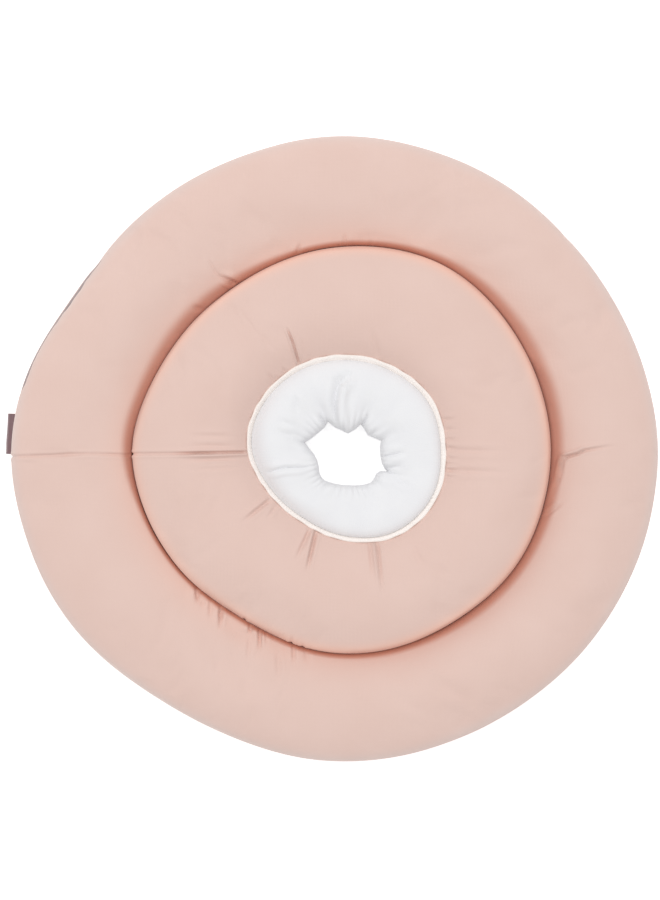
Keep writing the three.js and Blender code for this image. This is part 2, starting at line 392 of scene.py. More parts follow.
# the groove between the rings opens out at the right and at the upper left, and a little below
def opened(angle):
    right = bell(turned(angle, 20), 42)
    left = 0.9 * bell(turned(angle, 142), 28) + 0.4 * bell(turned(angle, 178), 14)
    return right + left + 0.45 * bell(turned(angle, 312), 32)


def pressed(angle):
    """How far the outer ring swells past the place where it meets the inner one, in millimetres."""
    return 0.4 + 1.2 * opened(angle) + 0.45 * bell(turned(angle, 242), 30)


# %% The outer ring
# it swells over the channel until it presses on the inner ring
outer, reach, width = stuffed_ring(
    "outer",
    "outer_ring",
    (channel_outside, rim_line),
    lambda angle: 0.34 + 0.36 * opened(angle),
    0.68,
    math.radians(1.5),
    (channel_outside - contact_line + pressed(ray_angles) * mm, upright),
    (448, 64),
    slack,
    1,
)
if filled:
    fill(outer, (reach < 1.5 * mm) | (reach > width - 1.2 * mm))
subdivide(outer)
print("outer ring:", len(outer.data.polygons), "faces")

# %% The inner ring
inner, reach, width = stuffed_ring(
    "inner",
    "inner_ring",
    (neck_line, channel_inside),
    lambda angle: 0.75,
    0.34,
    math.radians(10),
    (upright, lean_line),
    (360, 72),
    slack,
    2,
)
if filled:
    fill(inner, (reach < 3.6 * mm) | (reach > width - 1.2 * mm))
subdivide(inner)
print("inner ring:", len(inner.data.polygons), "faces")

# %% [markdown]
# ## Creases and puckers
#
# Where the cloth is gathered into a seam it folds, and on a stuffed ring the folds run out from
# the seam as short dark lines. They could be painted, but real dents catch the light from every
# side. Each crease is a line on the cloth as the camera sees it: the cloth sinks along the line
# and swells a little beside it, more on one side where a crease leans over.

# %% Pressing a crease
def as_seen(points):
    """Where each point seems to be at the height of the seams, from the camera."""
    eye = np.array(camera.location)
    share = (eye[2] - seam_height) / (eye[2] - points[:, 2])
    return (eye[:2] + (points[:, :2] - eye[:2]) * share[:, None]) / mm


def along_path(seen, path):
    """Each point's signed distance from a path, and how far along it the nearest place is."""
    path = np.array(path, float)
    lengths = np.linalg.norm(np.diff(path, axis=0), axis=1)
    nearest = np.full(len(seen), 1e9)
    side = np.zeros(len(seen))
    share = np.zeros(len(seen))
    for i, length in enumerate(lengths):
        way = (path[i + 1] - path[i]) / length
        offset = seen - path[i]
        at = offset @ way
        held = np.clip(at, 0, length)
        away = np.linalg.norm(offset - held[:, None] * way, axis=1)
        closer = away < nearest
        nearest[closer] = away[closer]
        left = way[0] * offset[:, 1] - way[1] * offset[:, 0]
        side[closer] = np.sign(left[closer]) * away[closer]
        share[closer] = ((lengths[:i].sum() + at) / lengths.sum())[closer]
    return side, share


def crease_depth(seen, path, depth, width, ridge=0.5, lean=0.0, start=0.15, end=0.5):
    """How far a crease lowers each point: start and end are the shares over which it fades."""
    side, share = along_path(seen, path)
    valley = bell(side, width)
    shoulders = bell(np.abs(side) - 2.2 * width, 1.3 * width)
    tilt = side / width * bell(side, 2.2 * width)
    fade = smooth_step(-0.1, start, share) * (1 - smooth_step(1 - end, 1.1, share))
    return depth * fade * (valley - ridge * shoulders + lean * tilt)


def press(piece, creases, free):
    """free is the share of each crease that a point may take, by how far it is from a seam."""
    points = points_of(piece)
    seen = as_seen(points)
    upper = smooth_step(seam_height, seam_height + 3 * mm, points[:, 2])
    depth = np.zeros(len(points))
    for crease in creases:
        depth += crease_depth(seen, **crease)
    set_points(piece, points - normals_of(piece) * (depth * upper * free * mm)[:, None])


def straight(x0, y0, x1, y1, depth, width, **rest):
    return dict(path=[(x0, y0), (x1, y1)], depth=depth, width=width, **rest)


# %% Puckers at the channel, and the closing seam across the outer ring
outer_creases = [
    dict(path=[(-64, 100), (-60.2, 93.1), (-57.6, 90.6)], depth=0.5, width=0.7, end=0.1),
    dict(path=[(-58.4, 91), (-54, 89.4), (-48.6, 86.6)], depth=1.7, width=1.2, start=0.4, end=0.02),
    straight(-68, 73.6, -72.6, 75.6, 0.8, 1.2),
    straight(-70.4, -72.4, -69.4, -82.5, 1.5, 1.1, lean=0.3),
    straight(-70, -74.5, -69.7, -80, 1.0, 1.5),
    straight(-57.4, -84.5, -57.6, -90, 1.0, 1.4),
    straight(-41.8, -93, -42, -97, 0.8, 1.3),
    straight(-36.7, -95.5, -37, -100, 1.0, 1.4),
    straight(-67.2, -77.6, -67, -84, 0.8, 1.0),
    straight(-63.2, -80.8, -62.9, -89.5, 0.8, 0.9),
    straight(-57.5, -82.6, -57.9, -95, 1.6, 0.9),
    straight(-41.8, -91.6, -42.2, -97.5, 1.4, 0.9),
    straight(-42.6, -99, -43.4, -113, 0.5, 0.9, start=0.3),
    straight(-36.8, -93.6, -37.2, -107, 1.6, 0.9),
    straight(-34.4, -96, -33.4, -102.5, 0.8, 0.8),
    straight(-27.4, -106, -27, -123, 0.7, 1.3, start=0.4),
    straight(-19.3, -102, -18.9, -114, 1.0, 0.9),
    straight(-12.8, -104, -11.6, -114, 0.7, 1.4),
    straight(23.4, 144, 29.6, 121, 0.5, 2.2, start=0.4),
    straight(7.9, 106, 8.1, 114, 0.9, 1.0),
    straight(20.9, 104, 21.4, 111, 0.9, 1.0),
    straight(-17.2, 103, -15.6, 108.6, 1.1, 1.0),
    dict(path=[(118, -24), (121.2, -15), (123, -6.4), (124.4, -4.2), (131, -2.4), (134.6, -0.6),
               (150, 1.8)], depth=1.9, width=0.7, lean=-0.4, start=0.4, end=0.5),
    straight(114.6, -35.2, 123.5, -27.6, 1.1, 0.9),
    dict(path=[(-170, -4), (-148, -3.4), (-128, -2.4), (-106, -3.2)], depth=0.8, width=0.7, ridge=0.3,
         start=0.02, end=0.02),
]
angle, radius = round_place(points_of(outer))
past_contact = radius - at_angle(contact_line, angle)
press(outer, outer_creases, 0.1 + 0.9 * smooth_step(0, 2 * mm, past_contact))
print("outer ring:", len(outer_creases), "creases")

# %% The binding's edge
# how far out on the ring the binding's flap ends
flap_line = line_from([5.4, 5.0, 4.8, 5.0, 4.4, 3.2, 2.6, 2.8, 3.6, 4.8, 5.2, 5.4], 6)
print("flap:", round(flap_line.min() / mm, 1), "to", round(flap_line.max() / mm, 1), "mm wide")

# %% Gathers at the neck edge, and the closing seam across the inner ring
neck_creases = [
    dict(path=[(-16.5, 45.5), (-19.8, 56.9), (-22.7, 64)], depth=1.5, width=0.52, ridge=0.6, lean=-0.2,
         start=0.02, end=0.3),
    straight(-13, 49, -15.7, 60, 0.3, 0.8),
    straight(-28, 34, -33.5, 41, 0.6, 0.8),
    straight(-25.5, 35.5, -29.6, 39.5, 0.6, 0.7),
    straight(-22.5, 38, -25.4, 44, 0.6, 0.7),
    straight(25.5, 48, 22, 64, 0.5, 1.5),
    straight(-43, -1.7, -83, -2.5, 1.3, 0.6, ridge=0.7, lean=-0.4, start=0.05, end=0.4),
    straight(-60, -2.1, -107, -2.6, 0.7, 0.7, ridge=0.5, start=0.2, end=0.02),
    straight(-50, 6.7, -76, 7.2, 0.5, 1.0, start=0.4),
    straight(-50, 1.6, -76, 1.9, 0.5, 0.9, start=0.4),
    straight(-49, -5.2, -77, -5.8, 0.6, 0.8, start=0.3),
    straight(-49, -7.4, -72, -8.2, 0.5, 0.8, start=0.3),
    straight(-48, -9.5, -75, -10.8, 0.6, 0.9, start=0.3),
    straight(-32, -27, -46.6, -38.6, 1.2, 0.9, lean=0.3, start=0.1),
    straight(-28.4, -30, -33, -36.5, 0.5, 0.8),
    straight(-7.4, -43, -12.3, -64.6, 1.7, 0.9, lean=0.4, start=0.05),
    straight(-10.6, -43, -18.3, -59, 0.9, 0.9, start=0.05),
    straight(24.6, -47, 27.8, -77, 1.5, 0.8, lean=0.3),
    straight(21, -48, 23, -68.5, 0.9, 0.9),
    straight(44, -52, 50.2, -63.5, 0.5, 1.4),
    straight(58, -0.4, 94.5, -1.2, 0.6, 1.3, start=0.1, end=0.6),
    straight(58, -11, 96, -12.4, 0.6, 1.3, start=0.1, end=0.6),
    straight(-46, -92.4, -44.8, -88.5, 0.5, 0.9),
    straight(-20.6, -103, -19.9, -98.8, 0.5, 0.9),
    straight(-14.8, -106.5, -14.2, -102.6, 0.4, 0.9),
]
for spot in [15.4, 10.2, 4.9, 0.5, -4.8, -7.8, -10.9, -14.4]:
    neck_creases.append(straight(58, spot, 68, spot * 1.04, 0.6, 0.8, end=0.7))
angle, radius = round_place(points_of(inner))
past_flap = radius - at_angle(neck_line + flap_line, angle)
press(inner, neck_creases, smooth_step(-1 * mm, 1.2 * mm, past_flap))
print("inner ring:", len(neck_creases), "creases")

# %% The rim seam
# the two layers are sewn edge to edge and turned, which leaves a shallow valley round the rim;
# at the upper left the seam has rolled up, where it shows from above as a thin line, and past
# both ends of that stretch it sinks back to its own height
points = points_of(outer)
angle, radius = round_place(points)
near_rim = smooth_step(-8 * mm, -2 * mm, radius - at_angle(rim_line, angle))
past_roll = turned(angle, 156)
rolled = smooth_step(-18, -13, -np.abs(past_roll))
pulls = 0.75 + 0.2 * np.cos(angle * 240) + 0.15 * np.sin(angle * 61) + 0.6 * rolled
lifted = smooth_step(-32, -11, past_roll) * smooth_step(-18, -12, -past_roll)
rim_seam = seam_height + (8.5 + 1.2 * smooth_step(0, 14, past_roll)) * mm * lifted
dent = near_rim * bell(points[:, 2] - rim_seam, 1.4 * mm) * pulls * 0.8 * mm
dent += near_rim * 0.6 * mm * bell(turned(angle, 142.5), 2)
points[:, 0] -= dent * np.cos(angle)
points[:, 1] -= dent * np.sin(angle)
set_points(outer, points)
print("rim seam:", round(dent.max() / mm, 2), "mm deep")
# painted shade: a grey line painted just under the rolled stretch of the rim seam
painted_seam_shade = rolled * (near_rim * bell(points[:, 2] - rim_seam + 0.8 * mm, 1.3 * mm))

# %% Painted shade in the channel, and painted light on the cover
# painted shade: the channel and the shoulders beside it are painted a darker, warmer brown; painted
# light: the inner ring's edge over the channel and the outer ring beside it are painted paler and
# warmer, the rim's side a pale grey; painted shade: a grey line along the rolled stretch of the seam
def store(piece, name, values):
    layer = piece.data.attributes.new(name, "FLOAT", "POINT")
    layer.data.foreach_set("value", values.astype(np.float32))


for piece in (outer, inner):
    angle, radius = round_place(points_of(piece))
    past = radius - at_angle(contact_line, angle)
    up = points_of(piece)[:, 2]
    upper = smooth_step(seam_height - 1 * mm, seam_height + 1 * mm, up)
    wide = (3 + 7.5 * opened(angle)) * mm
    # painted shade: darkest at the crack between the rings, fading out across the shoulders
    dark = smooth_step(-0.8 * mm, 0.2 * mm, past) * (1 - smooth_step(0.3, 1, past / wide))
    dark *= 0.95 - 0.2 * np.minimum(opened(angle), 1)
    lower_right = bell(turned(angle, 320), 70)
    # painted shade beside the channel on the outer ring, mostly at the lower right, and a painted glow
    # elsewhere beside it
    if piece == outer:
        beside = bell(past, 11 * mm)
        painted_glow = 0.25 * beside * (1 - lower_right)
        beside *= 0.06 + 0.22 * lower_right
    else:
        beside = 0 * past
        dark *= 1 - smooth_step(17 * mm, 27 * mm, up)
        # painted highlight: the inner ring's upper edge over the channel is painted paler and warmer
        painted_glow = bell(past, 4 * mm) * smooth_step(19 * mm, 28 * mm, up)
        painted_glow *= 1 - 0.5 * bell(turned(angle, 190), 60)
    store(piece, "painted_groove_shade", np.maximum(dark, beside) * upper)
    # painted glow, kept off the painted shade
    store(piece, "painted_edge_glow", painted_glow * (1 - dark) * upper)
# painted shade line under the rolled stretch of the rim seam
store(outer, "rolled", painted_seam_shade)
# painted reflection: a pale grey painted on the rim's side, as light bounced from the table
store(outer, "painted_rim_reflection", 0.35 * near_rim * bell(points[:, 2] - 21 * mm, 6 * mm))
print("the rings touch", round(contact_line.mean() * full_turn / mm), "mm round")

# %% [markdown]
# ## The stitched channel
#
# Between the rings the cover's two layers are sewn flat together. The web is another spun ring,
# pressed to a thin band that reaches under both rings, and its thread is one small stitch, modelled
# once and copied along the seam. A stitch sinks into the cloth at both ends, so each is a
# flattened ball that is half buried.

# %% The web between the rings
web_rows = 12
web, angle, row = spin_ring("channel", 720, web_rows)
turn = row / web_rows * full_turn
channel_line = (channel_inside + channel_outside) / 2
stitch_pitch = 3.5 * mm
stitch_count = round(channel_line.mean() * full_turn / stitch_pitch)
half_width = at_angle(channel_outside - channel_inside, angle) / 2 + 0.4 * mm
tight = 0.15 * mm * (1 + np.cos(angle * stitch_count)) * bell(np.cos(turn), 0.5)
radius = at_angle(channel_line, angle) - half_width * np.cos(turn)
height = seam_height + np.sin(turn) * 0.8 * mm - np.sign(np.sin(turn)) * tight
set_points(web, round_middle(radius, angle, height))
lay_cloth(web, radius * np.cos(angle) / mm, radius * np.sin(angle) / mm)
# painted shade: the whole web in the channel is painted the dark warm brown
store(web, "painted_groove_shade", np.full(len(radius), 0.75))
store(web, "painted_edge_glow", np.zeros(len(radius)))
print("web:", len(web.data.polygons), "faces")

# %% One stitch, and its copies
bpy.ops.object.select_all(action="DESELECT")
bpy.ops.mesh.primitive_uv_sphere_add(segments=8, ring_count=5, radius=0.5 * mm)
stitch = bpy.context.object
bpy.ops.object.mode_set(mode="EDIT")
bpy.ops.transform.resize(value=(0.9, 3.0, 0.8))
bpy.ops.object.mode_set(mode="OBJECT")
bpy.ops.object.shade_smooth()


def copies_round(name, line, count, height):
    """Copies of the stitch along a seam line, joined as one piece."""
    made = []
    for i in range(count):
        angle = full_turn * (i + 0.5) / count
        radius = at_angle(line, angle)
        copy = stitch.copy()
        copy.data = stitch.data.copy()
        copy.location = round_middle(radius, angle, height)[0]
        copy.rotation_euler = (0, 0, angle)
        scene.collection.objects.link(copy)
        made.append(copy)
    bpy.ops.object.select_all(action="DESELECT")
    for copy in made:
        copy.select_set(True)
    bpy.context.view_layer.objects.active = made[0]
    bpy.ops.object.join()
    bpy.ops.object.transform_apply(location=True, rotation=True, scale=True)
    row_of_stitches = bpy.context.object
    row_of_stitches.name = name
    print(name, "has", count, "stitches")
    return row_of_stitches


proud = 0.62 * mm
channel_thread, under_thread = [
    copies_round(name, channel_line, stitch_count, seam_height + side)
    for name, side in [("channel_stitches", proud), ("channel_stitches_below", -proud)]
]

# %% [markdown]
# ## The binding
#
# A strip of white ribbed cloth is folded round the neck edge. Its section is a thin letter C that
# hugs the ring's blunt edge, with a flap above and one below. A Solidify modifier could thicken a
# folded sheet, but a spun ring carried to the C closes itself and leaves the edges round.

# %% The neck edge's own section
neck_width = (channel_inside - neck_line).mean()
neck_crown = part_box("inner_ring")[1].z
binding_thickness = 1.2 * mm
path_points = 240


def neck_edge_path(reach):
    """Points out and up along the ring's surface, from below its neck edge to above it."""
    turn = np.linspace(math.radians(10), math.radians(60), 200)
    out, rise = ring_section(turn, 0.75, 0.68, math.radians(10))
    kept = out * neck_width <= reach
    out = out[kept] * neck_width
    top = seam_height + rise[kept] * (neck_crown - seam_height)
    bottom = seam_height - rise[kept] * (seam_height + flattened)
    edge = np.linspace(bottom[0], top[0], 60)[1:-1]
    across = np.concatenate([out[::-1], 0 * edge, out])
    up = np.concatenate([bottom[::-1], edge, top])
    return even_and_soft(np.column_stack([across, up]), path_points, 60)


def evenly(path, count):
    steps = np.linalg.norm(np.diff(path, axis=0), axis=1)
    length = np.append(0, np.cumsum(steps))
    places = np.linspace(0, length[-1], count)
    return np.column_stack([np.interp(places, length, column) for column in path.T])


def soften(path, times):
    path = path.copy()
    for _ in range(times):
        path[1:-1] = (path[:-2] + 2 * path[1:-1] + path[2:]) / 4
    return path


def even_and_soft(path, count, times):
    """The path with this many even steps and its corners softened."""
    return evenly(soften(evenly(path, count), times), count)


def leftward(path):
    """The unit normals to the left of a path that runs up."""
    way = np.gradient(path, axis=0)
    way /= np.linalg.norm(way, axis=1)[:, None]
    return np.column_stack([-way[:, 1], way[:, 0]])


# %% The binding's strip
binding_rows = 40
binding, angle, row = spin_ring("binding", 1134, binding_rows)
path = neck_edge_path(9 * mm)
normals = leftward(path)
path_length = np.linalg.norm(np.diff(path, axis=0), axis=1).sum()
upper_path = path[:, 1] > seam_height
flap_end = np.interp(at_angle(flap_line, angle), path[upper_path, 0], np.flatnonzero(upper_path))
tree = BVHTree.FromObject(inner, bpy.context.evaluated_depsgraph_get())
drops = []
for ray_angle, reach in zip(ray_angles, flap_line - 0.6 * mm):
    above = round_middle(at_angle(neck_line, ray_angle) + reach, ray_angle, 0.1)[0]
    expected = np.interp(reach, path[upper_path, 0], path[upper_path, 1])
    drops.append(tree.ray_cast(Vector(above), Vector((0, 0, -1)))[0].z - expected)
drop_line = keep_slow_waves(np.array(drops), 40)
lowest, highest = drop_line.min() / mm, drop_line.max() / mm
print("the flap settles by", round(lowest, 1), "to", round(highest, 1), "mm")
below_end = np.interp(-3.2 * mm, -path[~upper_path, 0], np.flatnonzero(~upper_path))
share = (row + 0.5) / binding_rows
along = np.where(share < 0.5, share * 2, 2 - share * 2)
end = np.minimum(along, 1 - along) * 26 / 0.6
half = binding_thickness / 2 * np.sqrt(1 - (1 - np.clip(end, 0, 1)) ** 2)
ribs = 0.07 * mm * np.cos(angle * 162) * smooth_step(0, 1, end / 3)
groove = 0.22 * mm * bell(end - 2.6, 0.7)
lift = np.where(share < 0.5, half + ribs - groove, -half) + binding_thickness / 2 + 0.08 * mm
lift += 0.25 * mm * np.sin(angle * 23 + 1.3 * np.sin(angle * 7)) * smooth_step(0.8, 1, along)
spot = below_end + along * (flap_end - below_end)
out, up = [np.interp(spot, range(path_points), column) for column in path.T]
out_way, up_way = [np.interp(spot, range(path_points), column) for column in normals.T]
up += at_angle(drop_line, angle) * smooth_step(0.5, 1, along)
radius = at_angle(neck_line, angle) + out + out_way * lift
set_points(binding, round_middle(radius, angle, up + up_way * lift))
neck_lap = full_turn * neck_line.mean() / mm
along_strip = spot / (path_points - 1) * path_length / mm
lay_cloth(binding, angle / full_turn * neck_lap, along_strip, neck_lap)
print("binding:", len(binding.data.polygons), "faces")

# %% [markdown]
# ## The gathered cuff
#
# A tube of thin white cloth is sewn inside the binding. An elastic in its hem draws it in, so it
# puffs up next to the binding and falls in soft folds towards a star-shaped hole. The outline of
# the hole and the folds are listed, because a simulated elastic lands a little differently
# with every change of size, and the star is what the eye goes to first.

# %% The hem's outline
# the corners of the hole as seen from above, in millimetres
hem_corners = [
    (-13.9, 3.6), (-9.6, 6.3), (-5.4, 9.7), (-3.2, 11.6), (-1.1, 15.3), (0.6, 14.0), (3.1, 11.8),
    (6.8, 10.1), (9.5, 8.6), (13.0, 10.8), (16.2, 13.9), (18.4, 11.2), (20.4, 7.6), (23.4, 6.4),
    (27.8, 4.6), (27.0, 1.4), (27.1, -1.6), (27.4, -4.9), (28.2, -8.0), (31.4, -12.5),
    (27.2, -12.2), (25.0, -13.0), (23.9, -15.4), (22.2, -17.9), (18.1, -19.3), (13.0, -19.7),
    (6.6, -19.4), (1.8, -18.6), (-2.6, -17.2), (-4.8, -15.4), (-6.1, -12.3), (-6.4, -9.0),
    (-7.2, -5.9), (-8.8, -3.0), (-11.1, -0.3),
]
hole_middle = np.array([7.7, -3.2])
corners = np.array(hem_corners + hem_corners[:1])
spokes = evenly(corners, 1200) - hole_middle
spoke_angles = np.arctan2(spokes[:, 1], spokes[:, 0]) % full_turn
order = np.argsort(spoke_angles)
hem_line = np.interp(
    ray_angles, spoke_angles[order], np.linalg.norm(spokes, axis=1)[order], period=full_turn
)
hem_line = keep_slow_waves(hem_line, 60) * mm
print("the hole is", round(2 * hem_line.mean() / mm, 1), "mm wide on average")

# %% The cuff's sheet
cuff_steps = 640
cuff_rows = 88
cuff_length = 44
section_points = 300
wall = 1.5 * mm
cuff, angle, row = spin_ring("cuff", cuff_steps, cuff_rows)
# its section: the way in to the hem as a share, how far it bulges back over the binding, the height
knots = np.array(
    [(0, 0, 10), (0, 0, 16), (0, 0.1, 20), (0, 0.5, 23.5), (0, 0.9, 26.2), (0.02, 1, 28),
     (0.06, 0.7, 29), (0.12, 0.3, 29.3), (0.26, 0, 29.4), (0.55, 0, 28.5), (0.82, 0, 27.0),
     (0.95, 0, 25.6), (1.0, 0, 21), (0.985, 0, 14)]
) * [37, 3, 1]
section = even_and_soft(knots, section_points, 160) / [37, 3, 1]
share = (row + 0.5) / cuff_rows
down = np.where(share < 0.5, share * 2, 2 - share * 2)
down -= 0.6 * np.sin(down * full_turn) / full_turn
spot = (1 - down) * (section_points - 1)
across, bulge, height = [np.interp(spot, range(section_points), column) for column in section.T]
height *= mm
root = round_middle(at_angle(neck_line, angle) - 2.2 * mm, angle, 0 * angle)[:, :2]
hem_radius = at_angle(hem_line, angle)
hem_way = np.column_stack([np.cos(angle), np.sin(angle)])
hem = hole_middle * mm + hem_way * hem_radius[:, None]
band = 2.2 * mm
past_band = 1.45 * mm
puffed = at_angle(flap_line, angle) - band + past_band
flat = root + (hem - root) * across[:, None] + hem_way * (puffed * bulge)[:, None]
# where it bulges furthest it rests on the binding
rest = np.interp(puffed - past_band, path[upper_path, 0], path[upper_path, 1]) + 1.75 * mm
rest += 0.7 * at_angle(drop_line, angle)
height += (rest - 27.6 * mm) * bulge
puff = at_angle(keep_slow_waves(hem_line.mean() - hem_line, 24), angle)
near_hem = smooth_step(0.25, 1, across)
height += 0.35 * puff * near_hem
gathers = np.sin(angle * 38 + 2.1 * np.sin(angle * 5) + 0.8 * np.sin(angle * 11))
height += 0.26 * mm * gathers * smooth_step(0.55, 0.95, across)
points = np.column_stack([flat, height])
level = points * [1, 1, 0]
bumps = lumps(level, 11 * mm, 0.7 * mm, 5) + lumps(level, 30 * mm, 1.2 * mm, 6)
points[:, 2] += bumps * smooth_step(0.02, 0.3, across)

# %% Folds in the cuff
cuff_folds = [
    dict(path=[(9.5, 38.7), (4.5, 34.5), (2.8, 25.3), (3.1, 12)], depth=2.0, width=1.7, lean=-0.5,
         ridge=0.7, start=0.2, end=0.1),
    straight(11, 38.6, 4.6, 33.5, 1.0, 1.6, ridge=0.3, start=0.05, end=0.2),
    straight(-17.8, 28, -17.4, 18, 0.8, 1.4),
    dict(path=[(-31.5, -12), (-24.6, -10), (-9, -9.3)], depth=1.1, width=1.1, ridge=0.8),
    straight(28, -4, 40, -1.4, 1.0, 1.2, ridge=0.8),
    straight(28, -10.3, 39, -8.4, 1.0, 1.2, ridge=0.8),
    straight(34, -15, 43, -19.9, 0.7, 1.3),
    straight(-2.5, 13, -6, 18.6, 2.0, 1.2, ridge=0.3),
    straight(17.5, 13, 20.6, 18.4, 1.8, 1.2, ridge=0.3),
    straight(20.5, 7.4, 25.2, 10.6, 1.8, 1.2, ridge=0.3),
    straight(1, -16.5, -5, -20.5, 1.0, 1.4),
    straight(-12, 2, -17, 3.2, 0.8, 1.4),
    straight(-20, 12.4, -27, 15.8, 0.6, 1.5),
    straight(-20, 7, -27, 9.6, 0.5, 1.5),
    dict(path=[(-37, -18), (-30, -26.5), (-17, -34.5)], depth=1.0, width=2.6, ridge=0.3),
    straight(-37.3, 25.7, -24.6, 33.3, 0.8, 2.8, ridge=0.3),
    straight(26, -14.6, 27, -15.6, -1.2, 2.0, ridge=0, start=0.01, end=0.01),
]
seen = as_seen(points)
for fold in cuff_folds:
    points[:, 2] -= crease_depth(seen, **fold) * mm * smooth_step(0.0, 0.12, across)

# %% Giving the cuff its thickness
# both faces lie half a wall from the sheet's middle, along its own normals
order = np.lexsort((row, np.round(angle * cuff_steps / full_turn)))
grid = points[order].reshape(cuff_steps, cuff_rows, 3)
upper = grid[:, : cuff_rows // 2]
round_way = np.roll(upper, -1, axis=0) - np.roll(upper, 1, axis=0)
out_way = np.gradient(upper, axis=1)
facing = np.cross(round_way, out_way)
facing /= -np.linalg.norm(facing, axis=2)[:, :, None]
facing = np.concatenate([facing, -facing[:, ::-1]], axis=1)
from_end = np.minimum(down, 1 - down)[order].reshape(cuff_steps, cuff_rows)
end = from_end * cuff_length * mm / (wall / 2)
round_edge = np.sqrt(1 - (1 - np.clip(end, 0, 1)) ** 2)
grid = grid + facing * (wall / 2 * round_edge)[:, :, None]
points[order] = grid.reshape(-1, 3)
set_points(cuff, points)
lay_cloth(cuff, angle / full_turn * neck_lap, down * cuff_length, neck_lap)
top = points_of(cuff)[:, 2]
print("cuff from", round(top.min() / mm, 1), "to", round(top.max() / mm, 1), "mm high")

# %% [markdown]
# ## The label
#
# A short piece of woven tape is folded double and caught in the rim seam. It comes out level, bends
# over and hangs down the side. It is a flat grid carried along that path, out and back, and a
# Solidify modifier gives the tape its thickness. It stays bare.

# %% The label's tape
label_low, label_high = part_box("label_tab")
label_angle = math.radians(177)
label_way = np.array([math.cos(label_angle), math.sin(label_angle)])
label_side = np.array([-label_way[1], label_way[0]])
label_middle = (np.array(label_low)[:2] + np.array(label_high)[:2]) / 2 - [0, 0.9 * mm]
seam_out = np.array([label_high.x, label_middle[1]]) @ label_way
bpy.ops.object.select_all(action="DESELECT")
bpy.ops.mesh.primitive_grid_add(x_subdivisions=60, y_subdivisions=110, size=1)
label = bpy.context.object
label.name = "label"
points = points_of(label)
down_side = np.array([(-2, 0.2), (1.2, 0.3), (2.6, -0.3), (3.5, -2.0), (3.8, -4.6), (3.9, -7.9)])
fold = np.array([(3.85, -8.25), (3.4, -8.4), (3.2, -8.0)])
back_side = np.array([(3.15, -4.8), (2.85, -2.3), (2.1, -0.9), (1.0, -0.4), (-2, -0.4)])
tape_points = 400
tape_path = even_and_soft(np.vstack([down_side, fold, back_side]), tape_points, 60)
tape_length = np.linalg.norm(np.diff(tape_path, axis=0), axis=1).sum()
spot = (points[:, 1] + 0.5) * (tape_points - 1)
tape_width = 21.4
across = points[:, 0] * tape_width
out, up = [np.interp(spot, range(tape_points), column) for column in tape_path.T]
curl = 0.35 * (across / tape_width * 2) ** 2 * smooth_step(-1, -8, up)
out = out + seam_out / mm - curl + 0.25 * np.sin(across * 0.35) * smooth_step(0, -8, up)
place = out[:, None] * label_way + across[:, None] * label_side
off_middle = label_middle / mm @ label_side
place = place + off_middle * label_side
lay_cloth(label, across, (points[:, 1] + 0.5) * tape_length)
set_points(label, np.column_stack([place, up + seam_height / mm]) * mm)
select_only(label)
bpy.ops.object.modifier_add(type="SOLIDIFY")
label.modifiers[-1].thickness = 0.42 * mm
label.modifiers[-1].offset = 0
bpy.ops.object.modifier_apply(modifier=label.modifiers[-1].name)
bpy.ops.object.shade_smooth()
print("label:", round(tape_length, 1), "mm of tape")

# %% [markdown]
# ## Materials
#
# Every finish is a Principled shader with its pattern worked out in millimetres on the cloth's own
# coordinates. One small function adds a node, sets it and links it, and four more make the nodes
# that most cloths share, so that each material reads as a list of what it is made of.

# %% Colours and nodes
def linear(code):
    """A hex colour as Blender wants it: linear, with an alpha."""
    parts = [int(code[i : i + 2], 16) / 255 for i in (1, 3, 5)]
    return [c / 12.92 if c <= 0.04045 else ((c + 0.055) / 1.055) ** 2.4 for c in parts] + [1]


def add(material, kind, inputs=(), **settings):
    """Adds a node; an input is a value, or another node's output to link to it."""
    node = material.node_tree.nodes.new("ShaderNode" + kind)
    for name, value in settings.items():
        setattr(node, name, value)
    for name, value in dict(inputs).items():
        if isinstance(value, bpy.types.NodeSocket):
            material.node_tree.links.new(value, node.inputs[name])
        else:
            node.inputs[name].default_value = value
    return node


def new_material(name):
    material = bpy.data.materials.new(name)
    material.use_nodes = True
    return material, material.node_tree.nodes["Principled BSDF"]


def link(material, output, socket):
    material.node_tree.links.new(output, socket)


def stripes(material, place, pitch, direction, distortion, detail=1.0):
    """A wave texture with its stripes a pitch apart, in the unit of its coordinates."""
    inputs = {"Vector": place, "Scale": full_turn / (20 * pitch), "Distortion": distortion}
    inputs["Detail Scale"] = detail
    return add(material, "TexWave", inputs, bands_direction=direction).outputs["Fac"]


def mixed(material, amount, first, second):
    """The first colour, turned into the second by an amount."""
    mix = add(material, "Mix", {0: amount, 6: first, 7: second}, data_type="RGBA")
    return mix.outputs[2]


def raised(material, height, relief):
    """The normals of a pattern that stands up by its relief, in metres."""
    bump = add(material, "Bump", {"Height": height, "Distance": relief, "Strength": 1.0})
    return bump.outputs["Normal"]


def added_up(material, values, share, rest):
    """A share of some values, on top of the rest."""
    summed = add(material, "Math", {0: values, 1: share, 2: rest}, operation="MULTIPLY_ADD")
    return summed.outputs[0]


# %% Dusty pink brushed cotton
# A plain weave with a short brushed nap: matt, with a faint light edge where the nap stands up.
# Threads are about 0.35 mm apart on the real cloth, and are drawn 0.7 mm apart to show at all.
thread = 0.7

# the painted shade and painted light that each stored amount turns the cloth's colour towards
painted_tints = [
    ("painted_groove_shade", "#BD7B64"),
    ("painted_edge_glow", "#F7C7B4"),
    ("painted_rim_reflection", "#D3CFCE"),
    ("rolled", "#85787A"),
]


